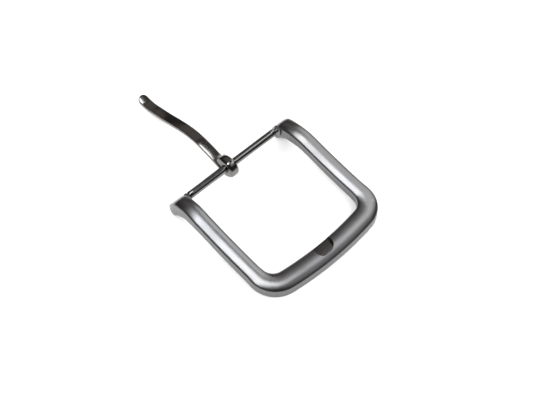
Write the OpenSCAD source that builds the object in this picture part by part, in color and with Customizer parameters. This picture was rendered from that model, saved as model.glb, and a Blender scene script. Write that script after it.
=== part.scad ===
// Single-prong heel-bar belt buckle.
// Millimetres. Origin: middle of the heel bar's axis.
// +X along the bar, +Y from the front bar back to the heel bar, +Z up, out of the face.

/* [Frame] */
// Clear width between the two side rails
inner_w = 40; // [36:0.5:46]
// Width of a side rail, seen from above
rail_w = 5.4; // [4.8:0.1:6.5]
// Width of the front bar at its middle
front_w = 6.9; // [6.2:0.1:8]
// From the heel bar's axis to the middle of the front bar's width
reach = 43.1; // [40:0.1:48]
// Radius of the bowed front bar, on its centre line
bow_r = 123; // [100:1:180]
// Radius of the two front corners, on their centre line
corner_r = 7; // [6:0.1:9]
// Height of the upright wall at the front bar
front_wall = 3.0; // [2.4:0.1:3.6]
// Height of the upright wall at the rails' rear
rear_wall = 2.5; // [2.2:0.1:3]
// Rise of the domed top above the walls
dome_h = 1.2; // [0.8:0.1:1.6]
// Underside of the front bar, below the heel bar's axis
front_drop = 5.3; // [4.6:0.1:6]
// Small bevel on the underside's edges
edge_bevel = 0.25; // [0.15:0.05:0.4]

/* [Lugs] */
// Clear width between the two lugs' inner faces
lug_gap = 39.4; // [35.4:0.5:45.4]
// Width of a lug, seen from above
lug_w = 5.4; // [5:0.1:7]
// How far a lug reaches behind the heel bar's axis
lug_back = 3.3; // [3.2:0.1:3.6]
// How far a lug hangs below the heel bar's axis
lug_drop = 5.2; // [4.8:0.1:5.6]
// How far the small socket boss stands off the lug's inner face
boss_h = 0.5; // [0.3:0.1:0.8]

/* [Heel bar] */
// Diameter of the heel bar
bar_d = 2.6; // [2.2:0.1:3]
// Length of the full-diameter part between its two shoulders
bar_body = 37.2; // [31:0.2:37.2]
// How far that part sits off the middle, towards one lug
bar_shift = -0.5; // [-0.5:0.1:0.5]
// Diameter of the necks that sit in the lugs
neck_d = 1.7; // [1.4:0.1:1.9]
// Depth of each blind socket behind the lug's inner face
socket_depth = 2.6; // [2:0.1:3.2]
// Bevel on the bar's shoulders
bar_bevel = 0.35; // [0.2:0.05:0.4]

/* [Prong] */
// Distance from the heel bar's axis to the prong's tip
prong_len = 43.8; // [41:0.1:44]
// Thickness of the ribbon
prong_t = 1.3; // [1:0.05:1.5]
// Width of the ribbon at the eye
prong_w_eye = 3.5; // [2.8:0.1:3.6]
// Greatest width of the ribbon
prong_w_mid = 3.6; // [3:0.1:3.6]
// Width of the ribbon at its rounded tip
prong_w_tip = 3.5; // [2.6:0.1:3.5]
// Outside diameter of the rolled eye
eye_d = 6.7; // [6.2:0.1:6.9]
// Radial running clearance between the eye and the bar
eye_clear = 0.07; // [0.03:0.01:0.1]
// Place of the prong along the bar
prong_x = -1.95; // [-1.95:0.05:-1.2]

/* [Rest for the prong] */
// Width of the scooped notch in the front bar
notch_w = 7; // [7:0.1:7.4]
// Place of the notch along the bar
notch_x = -0.5; // [-0.7:0.05:-0.5]
// How far the notch reaches past the front bar's centre line
notch_past = 1.2; // [1.1:0.1:1.6]

/* [Hidden] */
xm = inner_w / 2 + rail_w / 2;
sb = (xm - corner_r) / (bow_r - corner_r);
ba = asin(sb);
y_rail = bow_r * (1 - cos(ba)) + corner_r * cos(ba) - reach;
bar_r = bar_d / 2;
bore_r = bar_r + eye_clear;
eye_r = eye_d / 2;

function clamp01(t) = t < 0 ? 0 : t > 1 ? 1 : t;
function ease(t) = let (c = clamp01(t)) c * c * (3 - 2 * c);
function mixv(a, b, t) = a + (b - a) * t;
// value on a smooth line through hand-set knots [place, height]
function knot(k, v, i = 0) =
    v <= k[0][0] ? k[0][1] :
    i >= len(k) - 1 ? k[len(k) - 1][1] :
    v <= k[i + 1][0] ? hermite(k, i, (v - k[i][0]) / (k[i + 1][0] - k[i][0])) :
    knot(k, v, i + 1);
function slope(k, i) =
    i <= 0 ? (k[1][1] - k[0][1]) / (k[1][0] - k[0][0]) :
    i >= len(k) - 1 ? (k[i][1] - k[i - 1][1]) / (k[i][0] - k[i - 1][0]) :
    (k[i + 1][1] - k[i - 1][1]) / (k[i + 1][0] - k[i - 1][0]);
function hermite(k, i, t) =
    let (h = k[i + 1][0] - k[i][0], t2 = t * t, t3 = t2 * t)
    (2 * t3 - 3 * t2 + 1) * k[i][1] + (t3 - 2 * t2 + t) * h * slope(k, i)
    + (3 * t2 - 2 * t3) * k[i + 1][1] + (t3 - t2) * h * slope(k, i + 1);

// side view of the frame: underside and upper rim of the walls against Y
function y_front() = -reach;
under_knots = [
    [y_front(), -front_drop], [-36, -front_drop + 0.55], [-28, -front_drop + 1.35],
    [-20, -front_drop + 2.5], [-14, -front_drop + 3.65], [-9.5, -front_drop + 4.2],
    [-6.5, -front_drop + 4.15], [-4.4, -1.45], [-2.6, -2.45], [-1, -3.75],
    [0.1, -lug_drop + 0.2], [0.9, -lug_drop]];
rim_knots = [
    [y_front(), -front_drop + front_wall], [-36, -front_drop + 0.55 + front_wall - 0.1],
    [-28, -front_drop + 1.35 + front_wall - 0.2], [-20, -front_drop + 2.5 + mixv(front_wall, rear_wall, 0.6)],
    [-14, -front_drop + 3.65 + mixv(front_wall, rear_wall, 0.8)], [-9.5, 1.72], [-6.5, 1.93],
    [-4, 1.78], [-2, 1.38], [-0.4, 0.9]];
// rounded rear end of a lug, from its top edge round to its underside
end_top_knots = [
    [-0.4, 0.9], [0.4, 0.5], [1.2, -0.15], [2.0, -1.0], [2.6, -1.85], [3.05, -2.75], [lug_back, -3.4]];
end_low_knots = [
    [0.9, -lug_drop], [1.6, -lug_drop + 0.07], [2.25, -lug_drop + 0.4], [2.75, -lug_drop + 0.9], [lug_back, -lug_drop + 1.4]];
function z_under(y) = y <= 0.9 ? knot(under_knots, y) : knot(end_low_knots, y);
function z_rim(y) = y <= -0.4 ? knot(rim_knots, y) : knot(end_top_knots, y);
function dome(y) = y <= -0.4 ? mixv(dome_h, 1.3, ease((y + 9) / 8.6)) : mixv(1.3, 0.1, ease((y + 0.4) / 3.2));

// plan view: centre line, heading and width
lug_shift = xm - (lug_gap / 2 + lug_w / 2);
function rail_x(y) = xm - lug_shift * ease((y + 11) / 8);
function wide(y) = let (f = clamp01(1 - (y + reach) / 11))
    (y < -12 ? rail_w + (front_w - rail_w) * ease(f) : mixv(rail_w, lug_w, ease((y + 11) / 8)));

N_BOW = 20;
N_COR = 14;
N_RAIL = 30;
N_END = 12;
// one half of the stations: [x, y, heading]
half = concat(
    [for (i = [0:N_BOW - 1]) let (t = ba * i / N_BOW) [bow_r * sin(t), bow_r * (1 - cos(t)) - reach, t]],
    [for (i = [0:N_COR - 1]) let (t = ba + (90 - ba) * i / N_COR)
        [bow_r * sb + corner_r * (sin(t) - sb), bow_r * (1 - cos(ba)) + corner_r * (cos(ba) - cos(t)) - reach, t]],
    [for (i = [0:N_RAIL - 1]) let (y = mixv(y_rail, -0.4, i / N_RAIL)) [rail_x(y), y, 90]],
    [for (i = [0:N_END]) let (y = mixv(-0.4, lug_back, sin(90 * i / N_END))) [rail_x(y), y, 90]]);
NH = len(half);
stations = concat(
    [for (i = [NH - 1:-1:1]) [-half[i][0], half[i][1], -half[i][2]]],
    half);
NS = len(stations);

N_DOME = 14;
// one cross-section: [out, up], out positive to the outside of the loop
function section(y, tight) =
    let (w = wide(y) / 2 - tight, zu = z_under(y), zr = max(z_rim(y), zu + 0.4), d = dome(y),
         b = min(edge_bevel, (zr - zu) * 0.3))
    concat(
        [[-w + b, zu], [w - b, zu], [w, zu + b]],
        [for (i = [0:N_DOME]) let (a = 180 * i / N_DOME) [w * cos(a), zr + d * sin(a)]],
        [[-w, zu + b]]);
NP = 4 + N_DOME + 1;
// lug ends are a little narrower at the very end, so their corners are rounded in plan
function tight(y) = let (t = clamp01((y - 0.6) / (lug_back - 0.6))) 0.9 * (1 - sqrt(1 - t * t * 0.96));
ring_points = [for (s = stations) for (q = section(s[1], tight(s[1])))
    [s[0] + sin(s[2]) * q[0], s[1] - cos(s[2]) * q[0], q[1]]];
ring_faces = concat(
    [for (i = [0:NS - 2]) for (j = [0:NP - 1])
        let (a = i * NP + j, b = i * NP + (j + 1) % NP, c = a + NP, d = b + NP) [a, c, b]],
    [for (i = [0:NS - 2]) for (j = [0:NP - 1])
        let (a = i * NP + j, b = i * NP + (j + 1) % NP, c = a + NP, d = b + NP) [b, c, d]],
    [[for (j = [0:NP - 1]) j]],
    [[for (j = [NP - 1:-1:0]) (NS - 1) * NP + j]]);

module frame() {
    color([0.34, 0.34, 0.36])
    difference() {
        union() {
            polyhedron(points = ring_points, faces = ring_faces, convexity = 8);
            // small square bosses round the sockets
            for (s = [-1, 1])
                translate([s * (lug_gap / 2 - boss_h / 2 + 0.15), -0.2, -0.5])
                    cube([boss_h + 0.3, 2.8, 2.8], center = true);
        }
        // blind sockets for the heel bar
        for (s = [-1, 1])
            translate([s * (lug_gap / 2 - boss_h - 1), 0, 0]) rotate([0, s * 90, 0])
                cylinder(r = neck_d / 2, h = socket_depth + boss_h + 1, $fn = 48);
        // scooped notch that the prong's tip rests in
        notch_cut();
    }
}

module notch_cut() {
    ra = 1.7;
    rb = 3.4;
    yb = -reach - notch_past;
    zf = -front_drop + front_wall - 0.15;
    // tighter corner where the tip comes down, a sweeping one at the other side
    translate([notch_x, 0, zf]) linear_extrude(height = 6)
        polygon(concat(
            [[-notch_w / 2, yb + 8]],
            [for (i = [0:12]) let (a = 180 + 90 * i / 12) [-notch_w / 2 + ra + ra * cos(a), yb + ra + ra * sin(a)]],
            [for (i = [0:18]) let (a = 270 + 90 * i / 18) [notch_w / 2 - rb + rb * cos(a), yb + rb + rb * sin(a)]],
            [[notch_w / 2, yb + 8]]));
}

module heel_bar() {
    ha = bar_body / 2 - bar_shift;
    hb = bar_body / 2 + bar_shift;
    hn = lug_gap / 2 + socket_depth - 0.1;
    color([0.62, 0.62, 0.64])
    rotate([0, 90, 0]) rotate_extrude($fn = 64)
        polygon([[0, -hn], [neck_d / 2, -hn], [neck_d / 2, -ha], [bar_r - bar_bevel, -ha],
                 [bar_r, -ha + bar_bevel], [bar_r, hb - bar_bevel], [bar_r - bar_bevel, hb],
                 [neck_d / 2, hb], [neck_d / 2, hn], [0, hn]]);
}

// the eye's outside is a little off the bore's centre, thicker in front and below
// side view of the ribbon's middle line, thrown back behind the bar
eye_off = [-0.25, -0.3];
root = eye_r - 0.86 - eye_off[1];
ribbon_knots = [
    [0, -root], [1.5, -root + 0.12], [3.5, -2.15], [6, -1.3], [10, -0.35], [15, 0.2],
    [20, -0.3], [25, -1.6], [30, -3.15], [35, -4.4], [38, -5.08], [40.5, -5.12], [prong_len, -4.4]];
N_RIB = 56;
function rib(i) = let (y = prong_len * i / N_RIB) [y, knot(ribbon_knots, y)];
function rib_t(i) = prong_t + (1.72 - prong_t) * (1 - ease(i / N_RIB * 4));
function rib_dir(i) = let (a = rib(max(i - 1, 0)), b = rib(min(i + 1, N_RIB)), v = b - a) v / norm(v);
function rib_side(i, s) = let (p = rib(i), d = rib_dir(i), t = rib_t(i) / 2) [p[0] - d[1] * s * t, p[1] + d[0] * s * t];

// smooth open line through hand-set points
function bend(p0, p1, p2, p3, t) = 0.5 * (2 * p1 + (p2 - p0) * t
    + (2 * p0 - 5 * p1 + 4 * p2 - p3) * t * t + (3 * p1 - p0 - 3 * p2 + p3) * t * t * t);
function line_through(p, n) = [for (i = [0:len(p) - 2]) for (k = [0:n - 1])
    bend(p[max(i - 1, 0)], p[i], p[i + 1], p[min(i + 2, len(p) - 1)], k / n)];

// the rolled end coming over the bar and down towards the ribbon
roll_pts = [[0, eye_r], [0.8, eye_r - 0.02], [1.8, eye_r - 0.16], [2.8, eye_r - 0.55], [3.7, eye_r - 1.15],
    [4.15, eye_r - 1.95], [3.95, eye_r - 2.75], [3.3, eye_r - 3.25], [2.4, eye_r - 3.45], [1.1, eye_r - 3.4]];

// whole side view: round the bar, the rolled end, the slit, then out and back along the ribbon
module prong_profile() {
    polygon(concat(
        [for (i = [0:35]) let (a = -90 - 5 * i) eye_off + [eye_r * cos(a), eye_r * sin(a)]],
        line_through([for (p = roll_pts) p + eye_off], 5),
        [[1.1, eye_r - 3.4] + eye_off, [0.95, -0.85]],
        [for (i = [3:N_RIB]) rib_side(i, 1)],
        [rib(N_RIB)],
        [for (i = [N_RIB - 1:-1:1]) rib_side(i, -1)]));
}

module prong_plan() {
    re = prong_w_eye / 2;
    rm = prong_w_mid / 2;
    rt = prong_w_tip / 2;
    polygon(concat(
        [[-eye_r - 1, -re], [7, -re]],
        [for (i = [1:10]) [7 + 1.9 * i, -mixv(re, rm, ease(i / 10))]],
        [for (i = [0:24]) let (a = -90 + 180 * i / 24) [prong_len + 0.05 - rt + rt * cos(a), rt * sin(a)]],
        [for (i = [10:-1:1]) [7 + 1.9 * i, mixv(re, rm, ease(i / 10))]],
        [[7, re], [-eye_r - 1, re]]));
}

module prong() {
    color([0.42, 0.4, 0.39])
    translate([prong_x, 0, 0])
    difference() {
        intersection() {
            rotate([90, 0, 90]) translate([0, 0, -prong_w_mid])
                linear_extrude(height = 2 * prong_w_mid) prong_profile();
            translate([0, 0, -20]) rotate([0, 0, 90]) mirror([0, 1, 0])
                linear_extrude(height = 40) prong_plan();
        }
        // running bore on the heel bar
        rotate([0, 90, 0]) cylinder(r = bore_r, h = 20, center = true, $fn = 64);
    }
}

frame();
heel_bar();
prong();
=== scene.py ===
import math

import bmesh
import bpy
import numpy as np
from mathutils import Matrix, Vector


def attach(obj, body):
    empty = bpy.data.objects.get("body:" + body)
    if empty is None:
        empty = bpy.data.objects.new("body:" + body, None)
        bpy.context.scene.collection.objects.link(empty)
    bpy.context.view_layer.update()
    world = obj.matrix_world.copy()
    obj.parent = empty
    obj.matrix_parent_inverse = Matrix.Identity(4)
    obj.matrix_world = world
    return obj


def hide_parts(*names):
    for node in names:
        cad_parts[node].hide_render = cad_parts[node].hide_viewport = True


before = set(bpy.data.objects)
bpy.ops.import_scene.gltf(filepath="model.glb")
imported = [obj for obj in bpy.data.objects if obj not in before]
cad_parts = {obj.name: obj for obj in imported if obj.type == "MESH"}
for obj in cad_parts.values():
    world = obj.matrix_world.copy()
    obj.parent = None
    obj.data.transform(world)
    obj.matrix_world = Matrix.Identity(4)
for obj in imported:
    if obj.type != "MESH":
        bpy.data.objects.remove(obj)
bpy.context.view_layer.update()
MM = 0.001

# ---------------------------------------------------------------- sizes, as in the part's source (mm)
inner_w, rail_w, front_w, reach = 40.0, 5.4, 6.9, 43.1
bow_r, corner_r = 123.0, 7.0
front_wall, rear_wall, dome_h, front_drop, edge_bevel = 3.0, 2.5, 1.2, 5.3, 0.25
lug_gap, lug_w, lug_back, lug_drop, boss_h = 39.4, 5.4, 3.3, 5.2, 0.5
bar_d, bar_body, bar_shift, neck_d, socket_depth, bar_bevel = 2.6, 37.2, -0.5, 1.7, 2.6, 0.35
prong_len, prong_t = 43.8, 1.3
prong_w_eye, prong_w_mid, prong_w_tip = 3.5, 3.6, 3.5
eye_d, eye_clear, prong_x = 6.7, 0.07, -1.95
notch_w, notch_x, notch_past = 7.0, -0.5, 1.2

xm = inner_w / 2 + rail_w / 2
sb = (xm - corner_r) / (bow_r - corner_r)
ba = math.asin(sb)
y_rail = bow_r * (1 - math.cos(ba)) + corner_r * math.cos(ba) - reach
bar_r, eye_r = bar_d / 2, eye_d / 2
bore_r = bar_r + eye_clear


def clamp01(t):
    return 0.0 if t < 0 else 1.0 if t > 1 else t


def ease(t):
    c = clamp01(t)
    return c * c * (3 - 2 * c)


def mixv(a, b, t):
    return a + (b - a) * t


def slope(k, i):
    n = len(k) - 1
    if i <= 0:
        return (k[1][1] - k[0][1]) / (k[1][0] - k[0][0])
    if i >= n:
        return (k[n][1] - k[n - 1][1]) / (k[n][0] - k[n - 1][0])
    return (k[i + 1][1] - k[i - 1][1]) / (k[i + 1][0] - k[i - 1][0])


def knot(k, v):
    if v <= k[0][0]:
        return k[0][1]
    if v >= k[-1][0]:
        return k[-1][1]
    i = 0
    while v > k[i + 1][0]:
        i += 1
    h = k[i + 1][0] - k[i][0]
    t = (v - k[i][0]) / h
    return (
        (2 * t**3 - 3 * t * t + 1) * k[i][1]
        + (t**3 - 2 * t * t + t) * h * slope(k, i)
        + (3 * t * t - 2 * t**3) * k[i + 1][1]
        + (t**3 - t * t) * h * slope(k, i + 1)
    )


# ---------------------------------------------------------------- mesh helpers
def new_object(name, verts, faces, uvs=None, sharp=40.0):
    """verts in mm; uvs is one (u, v) in mm per face corner."""
    me = bpy.data.meshes.new(name)
    bm = bmesh.new()
    bv = [bm.verts.new(Vector(v) * MM) for v in verts]
    layer = bm.loops.layers.uv.new("sweep")
    for n, f in enumerate(faces):
        face = bm.faces.new([bv[i] for i in f])
        face.smooth = True
        if uvs is not None:
            for loop, uv in zip(face.loops, uvs[n]):
                loop[layer].uv = (uv[0] * MM, uv[1] * MM)
    bmesh.ops.recalc_face_normals(bm, faces=bm.faces)
    bm.to_mesh(me)
    bm.free()
    me.set_sharp_from_angle(angle=math.radians(sharp))
    ob = bpy.data.objects.new(name, me)
    bpy.context.scene.collection.objects.link(ob)
    return ob


def loft(rings, along, around, caps=True):
    """rings of points to quads, with (along, around) kept at each corner."""
    n, m = len(rings), len(rings[0])
    verts = [p for r in rings for p in r]
    faces, uvs = [], []
    for i in range(n - 1):
        for j in range(m):
            k = (j + 1) % m
            faces.append([i * m + j, i * m + k, (i + 1) * m + k, (i + 1) * m + j])
            v0, v1 = around[i][j], around[i][j + 1]
            w0, w1 = around[i + 1][j], around[i + 1][j + 1]
            uvs.append([(along[i], v0), (along[i], v1), (along[i + 1], w1), (along[i + 1], w0)])
    if caps:
        for i, order in ((0, range(m - 1, -1, -1)), (n - 1, range(m))):
            order = list(order)
            faces.append([i * m + j for j in order])
            uvs.append([(along[i] + 0.2 * rings[i][j][2], around[i][j]) for j in order])
    return verts, faces, uvs


def boolean(ob, cutter, how):
    mod = ob.modifiers.new("cut", "BOOLEAN")
    mod.operation = how
    mod.solver = "EXACT"
    mod.object = cutter
    dg = bpy.context.evaluated_depsgraph_get()
    me = bpy.data.meshes.new_from_object(ob.evaluated_get(dg))
    ob.modifiers.clear()
    ob.data = me
    bpy.data.objects.remove(cutter)


def prism(name, outline, z0, z1):
    """upright prism on an outline of (x, y)."""
    n = len(outline)
    verts = [(x, y, z0) for x, y in outline] + [(x, y, z1) for x, y in outline]
    faces = [list(range(n - 1, -1, -1)), list(range(n, 2 * n))]
    faces += [[i, (i + 1) % n, n + (i + 1) % n, n + i] for i in range(n)]
    uvs = [[(verts[i][0], verts[i][1]) for i in f] for f in faces]
    return new_object(name, verts, faces, uvs)


# ---------------------------------------------------------------- the frame
under = [
    (-reach, -front_drop), (-36, -front_drop + 0.55), (-28, -front_drop + 1.35),
    (-20, -front_drop + 2.5), (-14, -front_drop + 3.65), (-9.5, -front_drop + 4.2),
    (-6.5, -front_drop + 4.15), (-4.4, -1.45), (-2.6, -2.45), (-1, -3.75),
    (0.1, -lug_drop + 0.2), (0.9, -lug_drop)]
rim = [
    (-reach, -front_drop + front_wall), (-36, -front_drop + 0.55 + front_wall - 0.1),
    (-28, -front_drop + 1.35 + front_wall - 0.2), (-20, -front_drop + 2.5 + mixv(front_wall, rear_wall, 0.6)),
    (-14, -front_drop + 3.65 + mixv(front_wall, rear_wall, 0.8)), (-9.5, 1.72), (-6.5, 1.93),
    (-4, 1.78), (-2, 1.38), (-0.4, 0.9)]
end_top = [(-0.4, 0.9), (0.4, 0.5), (1.2, -0.15), (2.0, -1.0), (2.6, -1.85), (3.05, -2.75), (lug_back, -3.4)]
end_low = [(0.9, -lug_drop), (1.6, -lug_drop + 0.07), (2.25, -lug_drop + 0.4), (2.75, -lug_drop + 0.9), (lug_back, -lug_drop + 1.4)]
lug_shift = xm - (lug_gap / 2 + lug_w / 2)


def z_under(y):
    return knot(under, y) if y <= 0.9 else knot(end_low, y)


def z_rim(y):
    return knot(rim, y) if y <= -0.4 else knot(end_top, y)


def dome(y):
    if y <= -0.4:
        return mixv(dome_h, 1.3, ease((y + 9) / 8.6))
    return mixv(1.3, 0.1, ease((y + 0.4) / 3.2))


def wide(y):
    if y < -12:
        return rail_w + (front_w - rail_w) * ease(clamp01(1 - (y + reach) / 11))
    return mixv(rail_w, lug_w, ease((y + 11) / 8))


def rail_x(y):
    return xm - lug_shift * ease((y + 11) / 8)


def tight(y):
    t = clamp01((y - 0.6) / (lug_back - 0.6))
    return 0.9 * (1 - math.sqrt(1 - t * t * 0.96))


def half_stations(n_bow=70, n_cor=36, n_rail=110, n_end=34):
    out = []
    for i in range(n_bow):
        t = ba * i / n_bow
        out.append((bow_r * math.sin(t), bow_r * (1 - math.cos(t)) - reach, t))
    for i in range(n_cor):
        t = ba + (math.pi / 2 - ba) * i / n_cor
        out.append((bow_r * sb + corner_r * (math.sin(t) - sb),
                    bow_r * (1 - math.cos(ba)) + corner_r * (math.cos(ba) - math.cos(t)) - reach, t))
    for i in range(n_rail):
        y = mixv(y_rail, -0.4, i / n_rail)
        out.append((rail_x(y), y, math.pi / 2))
    for i in range(n_end + 1):
        y = mixv(-0.4, lug_back, math.sin(math.pi / 2 * i / n_end))
        out.append((rail_x(y), y, math.pi / 2))
    return out


def section(y, n_dome=40):
    w = wide(y) / 2 - tight(y)
    zu = z_under(y)
    zr = max(z_rim(y), zu + 0.4)
    d = dome(y)
    b = min(edge_bevel, (zr - zu) * 0.3)
    q = []
    for k in range(4):  # rounded lower edge, inner side
        a = math.pi / 2 * k / 3
        q.append((-w + b - b * math.cos(a), zu + b - b * math.sin(a)))
    for k in range(1, 4):
        q.append((mixv(-w + b, w - b, k / 4), zu))
    for k in range(4):
        a = math.pi / 2 * k / 3
        q.append((w - b + b * math.sin(a), zu + b - b * math.cos(a)))
    for k in range(1, 5):
        q.append((w, mixv(zu + b, zr, k / 5)))
    for k in range(n_dome + 1):
        a = math.pi * k / n_dome
        q.append((w * math.cos(a), zr + d * math.sin(a)))
    for k in range(1, 5):
        q.append((-w, mixv(zr, zu + b, k / 5)))
    return q


half = half_stations()
stations = [(-x, y, -t) for x, y, t in half[:0:-1]] + half
rings, along, around = [], [], []
s_run, last = 0.0, None
for x, y, t in stations:
    if last is not None:
        s_run += math.hypot(x - last[0], y - last[1])
    last = (x, y)
    sec = section(y)
    rings.append([(x + math.sin(t) * u, y - math.cos(t) * u, z) for u, z in sec])
    run = [0.0]
    for j in range(len(sec)):
        a, b = sec[j], sec[(j + 1) % len(sec)]
        run.append(run[-1] + math.hypot(b[0] - a[0], b[1] - a[1]))
    along.append(s_run)
    around.append(run)
buckle = new_object("buckle_frame", *loft(rings, along, around))


def rounded_box(name, c, size, r):
    """box with its edges along X rounded."""
    hx, hy, hz = (s / 2 for s in size)
    outline = []
    for cy, cz, a0 in ((hy - r, hz - r, 0), (-hy + r, hz - r, 90), (-hy + r, -hz + r, 180), (hy - r, -hz + r, 270)):
        for k in range(6):
            a = math.radians(a0 + 90 * k / 5)
            outline.append((cy + r * math.cos(a), cz + r * math.sin(a)))
    n = len(outline)
    verts = [(c[0] - hx, c[1] + y, c[2] + z) for y, z in outline] + [(c[0] + hx, c[1] + y, c[2] + z) for y, z in outline]
    faces = [list(range(n)), list(range(2 * n - 1, n - 1, -1))]
    faces += [[i, n + i, n + (i + 1) % n, (i + 1) % n] for i in range(n)]
    uvs = [[(verts[i][1], verts[i][2] + verts[i][0]) for i in f] for f in faces]
    return new_object(name, verts, faces, uvs)


def round_rod(name, r, x0, x1, n=64):
    verts = [(x, r * math.cos(2 * math.pi * i / n), r * math.sin(2 * math.pi * i / n)) for x in (x0, x1) for i in range(n)]
    faces = [list(range(n)), list(range(2 * n - 1, n - 1, -1))]
    faces += [[i, n + i, n + (i + 1) % n, (i + 1) % n] for i in range(n)]
    uvs = [[(verts[i][0], verts[i][1] + verts[i][2]) for i in f] for f in faces]
    return new_object(name, verts, faces, uvs)


for s in (-1, 1):
    boolean(buckle, rounded_box("boss", (s * (lug_gap / 2 - boss_h / 2 + 0.15), -0.2, -0.5), (boss_h + 0.3, 2.8, 2.8), 0.35), "UNION")
for s in (-1, 1):
    a, b = s * (lug_gap / 2 - boss_h - 1), s * (lug_gap / 2 + socket_depth)
    boolean(buckle, round_rod("socket", neck_d / 2, min(a, b), max(a, b)), "DIFFERENCE")

# scooped notch for the prong's tip
ra, rb, yb, zf = 1.7, 3.4, -reach - notch_past, -front_drop + front_wall - 0.15
notch = [(notch_x - notch_w / 2, yb + 8)]
for k in range(0, 17):
    a = math.radians(180 + 90 * k / 16)
    notch.append((notch_x - notch_w / 2 + ra + ra * math.cos(a), yb + ra + ra * math.sin(a)))
for k in range(0, 25):
    a = math.radians(270 + 90 * k / 24)
    notch.append((notch_x + notch_w / 2 - rb + rb * math.cos(a), yb + rb + rb * math.sin(a)))
notch.append((notch_x + notch_w / 2, yb + 8))
boolean(buckle, prism("notch", notch, zf, zf + 6), "DIFFERENCE")
buckle.data.set_sharp_from_angle(angle=math.radians(38))

# ---------------------------------------------------------------- the heel bar
hn = lug_gap / 2 + socket_depth - 0.1


def bar_end(s, h):
    """one end of the bar's side view, from the end of its neck inwards; h is where its shoulder stands."""
    out = [(hn, 0.02), (hn, neck_d / 2 - 0.1), (hn - 0.1, neck_d / 2), (h + 0.08, neck_d / 2), (h, neck_d / 2 + 0.08)]
    out += [(h, bar_r - bar_bevel - 0.04), (h - 0.03, bar_r - bar_bevel), (h - bar_bevel + 0.06, bar_r - 0.05), (h - bar_bevel - 0.05, bar_r)]
    out += [(mixv(h - bar_bevel - 0.05, 0, k / 12), bar_r) for k in range(1, 12)]
    return [(s * x, r) for x, r in out]


prof = bar_end(-1, bar_body / 2 - bar_shift) + [(0, bar_r)] + bar_end(1, bar_body / 2 + bar_shift)[::-1]
NB = 96
rings, along, around = [], [], []
for x, r in prof:
    rings.append([(x, r * math.sin(2 * math.pi * j / NB), r * math.cos(2 * math.pi * j / NB)) for j in range(NB)])
    along.append(x)
    around.append([bar_r * 2 * math.pi * j / NB for j in range(NB + 1)])
bar = new_object("heel_bar_rod", *loft(rings, along, around), sharp=30)

# ---------------------------------------------------------------- the prong
off_y, off_z = -0.25, -0.3
root = eye_r - 0.86 - off_z
ribbon = [
    (0, -root), (1.5, -root + 0.12), (3.5, -2.15), (6, -1.3), (10, -0.35), (15, 0.2),
    (20, -0.3), (25, -1.6), (30, -3.15), (35, -4.4), (38, -5.08), (40.5, -5.12), (prong_len, -4.4)]
NR = 224


def rib(i):
    y = prong_len * i / NR
    return np.array([y, knot(ribbon, y)])


def rib_side(i, s):
    a, b = rib(max(i - 4, 0)), rib(min(i + 4, NR))
    d = (b - a) / np.linalg.norm(b - a)
    t = (prong_t + (1.72 - prong_t) * (1 - ease(i / NR * 4))) / 2
    p = rib(i)
    return (p[0] - d[1] * s * t, p[1] + d[0] * s * t)


def through(p, n):
    out = []
    for i in range(len(p) - 1):
        p0, p1, p2, p3 = (np.array(p[max(i - 1, 0)]), np.array(p[i]), np.array(p[i + 1]), np.array(p[min(i + 2, len(p) - 1)]))
        for k in range(n):
            t = k / n
            q = 0.5 * (2 * p1 + (p2 - p0) * t + (2 * p0 - 5 * p1 + 4 * p2 - p3) * t * t + (3 * p1 - p0 - 3 * p2 + p3) * t**3)
            out.append((float(q[0]), float(q[1])))
    return out


roll = [(0, eye_r), (0.8, eye_r - 0.02), (1.8, eye_r - 0.16), (2.8, eye_r - 0.55), (3.7, eye_r - 1.15),
        (4.15, eye_r - 1.95), (3.95, eye_r - 2.75), (3.3, eye_r - 3.25), (2.4, eye_r - 3.45), (1.6, eye_r - 3.45)]

# one closed side view: [y, z, edge rounding]; the slit runs into the bore, so the outline is one loop
SOFT, BIG = 0.16, 1.1
outline = []
start = next(i for i in range(NR) if math.hypot(*rib_side(i, 1)) > bore_r + 0.05 and rib_side(i, 1)[0] > 0.9)
for i in range(start, NR + 1, 2 if start % 2 == 0 else 1):
    y, z = rib_side(i, 1)
    outline.append((y, z, mixv(0.12, 0.34, ease((y - 3.2) / 3))))
outline.append((float(rib(NR)[0]), float(rib(NR)[1]), 0.3))
for i in range(NR - 4, 4, -2):
    y, z = rib_side(i, -1)
    outline.append((y, z, mixv(0.8, 0.3, ease((y - 2) / 7))))
for i in range(0, 73):
    a = math.radians(-90 - 2.5 * i)
    outline.append((off_y + eye_r * math.cos(a), off_z + eye_r * math.sin(a), mixv(0.8, BIG, ease(i / 14))))
lip = through([(y + off_y, z + off_z) for y, z in roll], 8)[1:]
for n, (y, z) in enumerate(lip):
    f = n / (len(lip) - 1)
    outline.append((y, z, mixv(BIG, 0.3, ease((f - 0.35) / 0.4))))
a_in = math.degrees(math.asin((eye_r - 3.45 + off_z) / bore_r))
for k in range(0, 61):
    a = math.radians(mixv(a_in, 322, k / 60))
    outline.append((bore_r * math.cos(a), bore_r * math.sin(a), 0.12))


def half_width(y):
    re, rm, rt = prong_w_eye / 2, prong_w_mid / 2, prong_w_tip / 2
    if y <= 7:
        return re
    if y <= 26:
        return mixv(re, rm, ease((y - 7) / 19))
    yc = prong_len + 0.05 - rt
    if y <= yc:
        return mixv(rm, rt, (y - 26) / (yc - 26))
    return math.sqrt(max(rt * rt - (y - yc) ** 2, 0.16))


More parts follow.
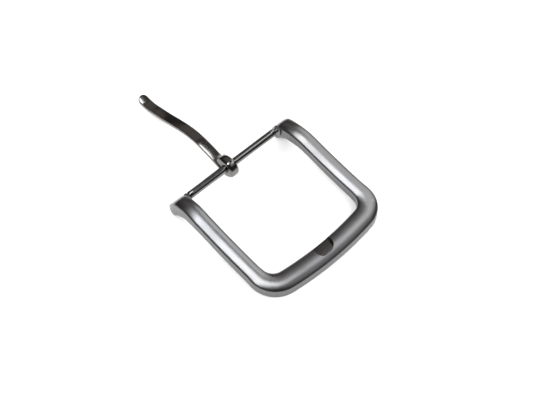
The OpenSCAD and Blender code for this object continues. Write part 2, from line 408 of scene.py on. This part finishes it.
pts = np.array([(p[0], p[1]) for p in outline])
soft = np.array([p[2] for p in outline])
nxt, prv = np.roll(pts, -1, 0), np.roll(pts, 1, 0)
area2 = np.sum(pts[:, 0] * nxt[:, 1] - nxt[:, 0] * pts[:, 1])
e1, e2 = pts - prv, nxt - pts
n1 = np.c_[-e1[:, 1], e1[:, 0]] / np.maximum(np.linalg.norm(e1, axis=1, keepdims=True), 1e-9)
n2 = np.c_[-e2[:, 1], e2[:, 0]] / np.maximum(np.linalg.norm(e2, axis=1, keepdims=True), 1e-9)
inward = n1 + n2
inward /= np.maximum(np.linalg.norm(inward, axis=1, keepdims=True), 1e-9)
if area2 < 0:
    inward = -inward
hw = np.array([half_width(y) for y in pts[:, 0]])
run = np.r_[0, np.cumsum(np.linalg.norm(nxt - pts, axis=1))]
NE = 7
levels = []
for k in range(NE + 1):
    a = math.pi / 2 * (1 - k / NE)
    levels.append((-1, a))
for k in range(NE + 1):
    levels.append((1, math.pi / 2 * k / NE))
rings, along, around = [], [], []
for s, a in levels:
    off = soft * (1 - math.cos(a))
    xx = s * (hw - soft + soft * math.sin(a))
    q = pts + inward * off[:, None]
    rings.append([(prong_x + float(x), float(y), float(z)) for x, (y, z) in zip(xx, q)])
    around.append(list(run))
    along.append(float(s * a))
v_, f_, u_ = loft(rings, along, around)
# along the ribbon is u, across it is v
u_ = [[(b, v_[i][0]) for (a, b), i in zip(uv, f)] for uv, f in zip(u_, f_)]
prong = new_object("prong_strip", v_, f_, u_, sharp=42)


# ---------------------------------------------------------------- materials
def node(nt, kind, **inputs):
    n = nt.nodes.new(kind)
    for k, v in inputs.items():
        n.inputs[k.replace("_", " ")].default_value = v
    return n


def metal(name, base, warm, rough, rough_vary, streak, wear, grain):
    m = bpy.data.materials.new(name)
    m.use_nodes = True
    nt = m.node_tree
    nt.nodes.clear()
    out = nt.nodes.new("ShaderNodeOutputMaterial")
    bsdf = nt.nodes.new("ShaderNodeBsdfPrincipled")
    bsdf.inputs["Metallic"].default_value = 1.0
    nt.links.new(bsdf.outputs[0], out.inputs[0])
    L = nt.links.new
    uv = nt.nodes.new("ShaderNodeUVMap")
    uv.uv_map = "sweep"
    obj = nt.nodes.new("ShaderNodeTexCoord")

    def mapped(src, scale):
        mp = nt.nodes.new("ShaderNodeMapping")
        mp.inputs["Scale"].default_value = scale
        L(src, mp.inputs["Vector"])
        return mp.outputs[0]

    def noise(vec, scale, detail=3.0, rgh=0.5):
        n = nt.nodes.new("ShaderNodeTexNoise")
        n.inputs["Scale"].default_value = scale
        n.inputs["Detail"].default_value = detail
        n.inputs["Roughness"].default_value = rgh
        L(vec, n.inputs["Vector"])
        return n.outputs["Fac"]

    def ramp(src, a, b, ca, cb):
        r = nt.nodes.new("ShaderNodeMapRange")
        r.inputs["From Min"].default_value = a
        r.inputs["From Max"].default_value = b
        r.inputs["To Min"].default_value = ca
        r.inputs["To Max"].default_value = cb
        L(src, r.inputs["Value"])
        return r.outputs["Result"]

    def math2(op, a, b):
        n = nt.nodes.new("ShaderNodeMath")
        n.operation = op
        for i, v in enumerate((a, b)):
            if isinstance(v, float):
                n.inputs[i].default_value = v
            else:
                L(v, n.inputs[i])
        return n.outputs[0]

    # fine brush lines along the sweep, and a slower variation over the piece
    fine = noise(mapped(uv.outputs[0], (150.0, 9000.0, 1.0)), 1.0, 4.0, 0.65)
    lines = noise(mapped(uv.outputs[0], (45.0, 2600.0, 1.0)), 1.0, 2.0, 0.5)
    slow = noise(obj.outputs["Object"], 170.0, 4.0, 0.6)
    blotch = noise(obj.outputs["Object"], 55.0, 2.0, 0.5)
    specks = noise(obj.outputs["Object"], 5200.0, 2.0, 0.6)

    geo = nt.nodes.new("ShaderNodeNewGeometry")
    edge = ramp(geo.outputs["Pointiness"], 0.515, 0.60, 0.0, 1.0)
    worn = math2("MULTIPLY", edge, ramp(slow, 0.35, 0.65, 0.35, 1.0))

    # colour: base tinted darker and lighter by the slow noise, a little paler where rubbed
    mix1 = nt.nodes.new("ShaderNodeMix")
    mix1.data_type = "RGBA"
    mix1.inputs["A"].default_value = (*[c * 0.93 for c in base], 1)
    mix1.inputs["B"].default_value = (*warm, 1)
    L(ramp(blotch, 0.3, 0.7, 0.0, 1.0), mix1.inputs["Factor"])
    mix2 = nt.nodes.new("ShaderNodeMix")
    mix2.data_type = "RGBA"
    mix2.blend_type = "MULTIPLY"
    mix2.inputs["Factor"].default_value = 1.0
    L(mix1.outputs["Result"], mix2.inputs["A"])
    tone = nt.nodes.new("ShaderNodeCombineColor")
    val = math2("MULTIPLY", ramp(fine, 0.25, 0.75, 1.0 - streak, 1.0 + streak), ramp(slow, 0.3, 0.7, 0.96, 1.04))
    for i in range(3):
        L(val, tone.inputs[i])
    L(tone.outputs[0], mix2.inputs["B"])
    mix3 = nt.nodes.new("ShaderNodeMix")
    mix3.data_type = "RGBA"
    L(math2("MULTIPLY", worn, float(wear)), mix3.inputs["Factor"])
    L(mix2.outputs["Result"], mix3.inputs["A"])
    mix3.inputs["B"].default_value = (*[min(1.0, c * 1.9) for c in base], 1)
    L(mix3.outputs["Result"], bsdf.inputs["Base Color"])

    # roughness
    r = math2("ADD", ramp(fine, 0.25, 0.75, rough - rough_vary, rough + rough_vary), ramp(slow, 0.3, 0.7, -rough_vary * 0.6, rough_vary * 0.6))
    r = math2("SUBTRACT", r, math2("MULTIPLY", worn, rough * 0.25))
    L(r, bsdf.inputs["Roughness"])

    # height: brush lines and a trace of blasted grain
    h = math2("ADD", math2("MULTIPLY", fine, 0.6), math2("MULTIPLY", lines, 0.5))
    h = math2("ADD", h, math2("MULTIPLY", specks, float(grain)))
    bump = nt.nodes.new("ShaderNodeBump")
    bump.inputs["Strength"].default_value = 0.5
    bump.inputs["Distance"].default_value = 0.000004
    L(h, bump.inputs["Height"])
    L(bump.outputs[0], bsdf.inputs["Normal"])
    return m


satin = metal("gunmetal_satin", (0.185, 0.186, 0.192), (0.176, 0.174, 0.174), 0.30, 0.03, 0.05, 0.25, 0.5)
polish = metal("gunmetal_polished", (0.200, 0.195, 0.192), (0.186, 0.178, 0.171), 0.14, 0.025, 0.03, 0.2, 0.15)
milled = metal("milled_floor", (0.165, 0.160, 0.157), (0.150, 0.142, 0.136), 0.12, 0.01, 0.02, 0.1, 0.0)
steel = metal("steel_bar", (0.22, 0.22, 0.224), (0.21, 0.205, 0.20), 0.12, 0.02, 0.03, 0.2, 0.1)
for ob, m in ((buckle, satin), (prong, polish), (bar, steel)):
    ob.data.materials.clear()
    ob.data.materials.append(m)
buckle.data.materials.append(milled)
for poly in buckle.data.polygons:  # the milled notch is bright, not blasted
    c = poly.center
    if abs(c.x / MM - notch_x) < notch_w / 2 + 0.05 and yb - 0.05 < c.y / MM < yb + 6 and c.z / MM > zf - 0.02:
        flat = poly.normal.z > 0.995 and abs(c.z / MM - zf) < 0.02
        wall = abs(poly.normal.z) < 0.02 and (abs(abs(c.x / MM - notch_x) - notch_w / 2) < 0.03 or c.y / MM < yb + rb) and c.y / MM > yb - 0.03
        if flat or wall:
            poly.material_index = 1
for ob, m in (("frame", satin), ("heel_bar", steel), ("prong", polish)):
    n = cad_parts[ob]
    n.data.materials.clear()
    n.data.materials.append(m)

for ob, cad, body, name in ((buckle, "frame", "buckle", "gunmetal_satin"), (bar, "heel_bar", "buckle", "steel_bar"), (prong, "prong", "tongue", "gunmetal_polished")):
    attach(ob, body)
    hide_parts(cad)

# ---------------------------------------------------------------- table top and light
F_FRONT, F_BACK = (-43.0, -5.32), (40.0, -5.83)
slope_y = (F_BACK[1] - F_FRONT[1]) / (F_BACK[0] - F_FRONT[0])
bm = bmesh.new()
grid = [[bm.verts.new(Vector((x, y, F_FRONT[1] + (y - F_FRONT[0]) * slope_y)) * MM) for x in range(-1600, 1601, 200)] for y in range(-1600, 1601, 200)]
for i in range(len(grid) - 1):
    for j in range(len(grid[0]) - 1):
        bm.faces.new([grid[i][j], grid[i][j + 1], grid[i + 1][j + 1], grid[i + 1][j]])
me = bpy.data.meshes.new("table_top")
bm.to_mesh(me)
bm.free()
floor = bpy.data.objects.new("table_top", me)
bpy.context.scene.collection.objects.link(floor)
fm = bpy.data.materials.new("pale_card")
fm.use_nodes = True
fb = fm.node_tree.nodes["Principled BSDF"]
fb.inputs["Roughness"].default_value = 0.95
fb.inputs["Specular IOR Level"].default_value = 0.0
tc = fm.node_tree.nodes.new("ShaderNodeTexCoord")
fn = fm.node_tree.nodes.new("ShaderNodeTexNoise")
fn.inputs["Scale"].default_value = 900.0
fr = fm.node_tree.nodes.new("ShaderNodeValToRGB")
fr.color_ramp.elements[0].color = (0.86, 0.86, 0.86, 1)
fr.color_ramp.elements[1].color = (0.88, 0.88, 0.88, 1)
fm.node_tree.links.new(tc.outputs["Object"], fn.inputs["Vector"])
fm.node_tree.links.new(fn.outputs["Fac"], fr.inputs["Fac"])
fm.node_tree.links.new(fr.outputs["Color"], fb.inputs["Base Color"])
me.materials.append(fm)


def panel(name, direction, dist, sx, sy, radiance, color=(1, 1, 1), glossy=True, diffuse=True, turn=0.0):
    d = Vector(direction).normalized()
    xa = (Vector((math.cos(turn), math.sin(turn), 0)) - d * d.dot(Vector((math.cos(turn), math.sin(turn), 0)))).normalized()
    ya = d.cross(xa)
    li = bpy.data.lights.new(name, "AREA")
    li.shape = "RECTANGLE"
    li.size, li.size_y = sx, sy
    li.energy = radiance * math.pi * sx * sy
    li.color = color
    ob = bpy.data.objects.new(name, li)
    mat = Matrix((xa, ya, d)).transposed().to_4x4()
    mat.translation = d * dist
    ob.matrix_world = mat
    ob.visible_glossy = glossy
    ob.visible_diffuse = diffuse
    bpy.context.scene.collection.objects.link(ob)
    return ob


def ceiling(name, x0, x1, y0, y1, height, radiance, color=(1, 1, 1), diffuse=True):
    """level panel over the table; x and y are slopes from the origin, so 0.3 is 0.3 across for 1 up."""
    ob = panel(name, (0, 0, 1), height, (x1 - x0) * height, (y1 - y0) * height, radiance, color, diffuse=diffuse)
    ob.location = ((x0 + x1) / 2 * height, (y0 + y1) / 2 * height, height)
    return ob


ceiling("softbox", -0.78, 0.31, 0.03, 0.27, 0.70, 10.5, (0.97, 0.985, 1.0), diffuse=False)
ceiling("overhead_fill", 0.20, 0.80, -0.85, -0.14, 0.75, 0.6, diffuse=False)
front_card = ceiling("front_card", 0.42, 0.86, -0.36, 0.02, 0.12, 2.2, (0.97, 0.985, 1.0), diffuse=False)
front_card.visible_camera = False
ceiling("brown_wall", 0.20, 1.00, 0.45, 1.90, 0.75, 0.22, (1.0, 0.92, 0.86), diffuse=False)
panel("side_card", (0.77, 0.17, 0.615), 0.80, 0.40, 0.52, 2.2, diffuse=False, turn=math.pi / 2)
for n, (dx, dy) in enumerate(((1, 0.2), (-0.2, 1), (-1, -0.2), (0.2, -1))):
    panel("table_fill_%d" % n, (dx, dy, 0.75), 1.3, 2.0, 1.3, 2.6, glossy=False, turn=math.atan2(dy, dx) + math.pi / 2)

world = bpy.data.worlds.new("studio")
bpy.context.scene.world = world
world.use_nodes = True
world.node_tree.nodes["Background"].inputs[0].default_value = (0.070, 0.064, 0.060, 1)
world.node_tree.nodes["Background"].inputs[1].default_value = 1.0

# ---------------------------------------------------------------- camera
cam_data = bpy.data.cameras.new("camera")
cam = bpy.data.objects.new("camera", cam_data)
bpy.context.scene.collection.objects.link(cam)
fwd = Vector((0.39816, 0.39062, -0.82999)).normalized()
right = fwd.cross(Vector((0, 0, 1))).normalized()
up = right.cross(fwd)
roll_a = math.radians(2.002)
r2 = right * math.cos(roll_a) + up * math.sin(roll_a)
u2 = -right * math.sin(roll_a) + up * math.cos(roll_a)
mat = Matrix((r2, u2, -fwd)).transposed().to_4x4()
mat.translation = Vector((-150.82, -166.94, 310.39)) * MM
cam.matrix_world = mat
cam_data.sensor_width = 36.0
cam_data.sensor_fit = "HORIZONTAL"
cam_data.lens = 1196.8 / 548 * 36
cam_data.clip_start, cam_data.clip_end = 0.01, 20
bpy.context.scene.camera = cam
bpy.context.scene.view_settings.view_transform = "Standard"
bpy.context.scene.view_settings.look = "None"
